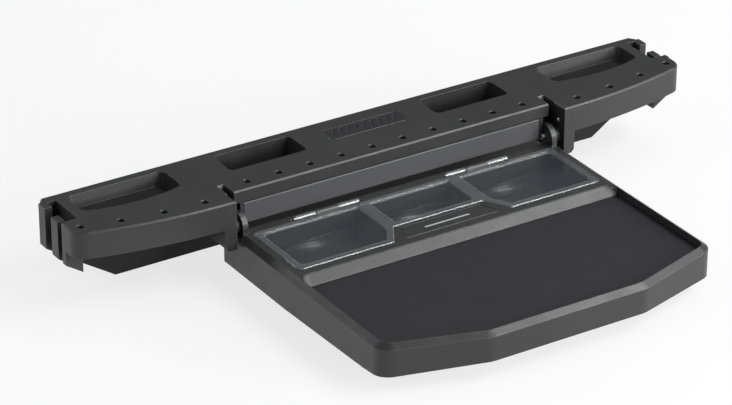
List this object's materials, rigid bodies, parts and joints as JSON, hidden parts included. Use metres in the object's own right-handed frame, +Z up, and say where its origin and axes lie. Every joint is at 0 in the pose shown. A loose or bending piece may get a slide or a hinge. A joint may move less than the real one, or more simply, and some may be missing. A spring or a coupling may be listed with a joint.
{
  "type": "tackle work station",
  "caption": "Long tool rail with holes, pockets and slotted ends, and a fold-up work tray with a hinged clear lid over compartments.",
  "frame": {"origin": "centre of the footprint, on the standing surface", "axes": "+X along the rail, +Y to the back of the rail (the tray's front is at -Y), +Z up"},
  "size_m": [0.628, 0.346, 0.08],
  "materials": {
    "rail_plastic": "fine matt texture, black",
    "badge_plastic": "satin black, ribbed",
    "tray_plastic": "satin black",
    "steel": "brushed stainless",
    "rubber": "matt black",
    "acetal": "smooth",
    "mat_rubber": "smooth dark bluish black",
    "clear_plastic": "clear polycarbonate",
    "stripe_plastic": "pale grey"
  },
  "bodies": {
    "rail": {"rail_deck": "rail_plastic", "rail_hull": "rail_plastic", "front_panel": "rail_plastic", "badge_plate": "badge_plastic", "hull_screws": "steel", "hull_feet": "rubber", "hinge_pin_left": "steel", "hinge_pin_right": "steel", "friction_washer_left": "acetal", "friction_washer_right": "acetal"},
    "tray": {"tray_body": "tray_plastic", "tray_base": "tray_plastic", "work_mat": "mat_rubber", "tray_screws": "steel", "tray_feet": "rubber", "lid_pin_left": "steel", "lid_pin_right": "steel", "latch_springs": "steel"},
    "lid": {"clear_lid": "clear_plastic"},
    "latch": {"latch_button": "tray_plastic", "latch_stripe": "stripe_plastic"},
    "detent_left": {"detent_left": "steel"},
    "detent_right": {"detent_right": "steel"}
  },
  "joints": [
    {"name": "tray_fold", "type": "hinge", "parent": "rail", "child": "tray", "pos_m": [0, 0.09236, 0.05047], "axis": [1, 0, 0], "range_deg": [-90, 0]},
    {"name": "lid_open", "type": "hinge", "parent": "tray", "child": "lid", "pos_m": [0, 0.08378, 0.0442], "axis": [-1, 0, 0], "range_deg": [0, 95]},
    {"name": "latch_press", "type": "slide", "parent": "tray", "child": "latch", "axis": [0, 0, -1], "range_m": [0, 0.0015], "stiffness_N_per_m": 400, "springref_m": -0.002, "deforming": ["latch_springs"]},
    {"name": "detent_left_press", "type": "slide", "parent": "rail", "child": "detent_left", "axis": [-1, 0, 0], "range_m": [0, 0.0012], "stiffness_N_per_m": 600, "springref_m": -0.001},
    {"name": "detent_right_press", "type": "slide", "parent": "rail", "child": "detent_right", "axis": [1, 0, 0], "range_m": [0, 0.0012], "stiffness_N_per_m": 600, "springref_m": -0.001}
  ]
}
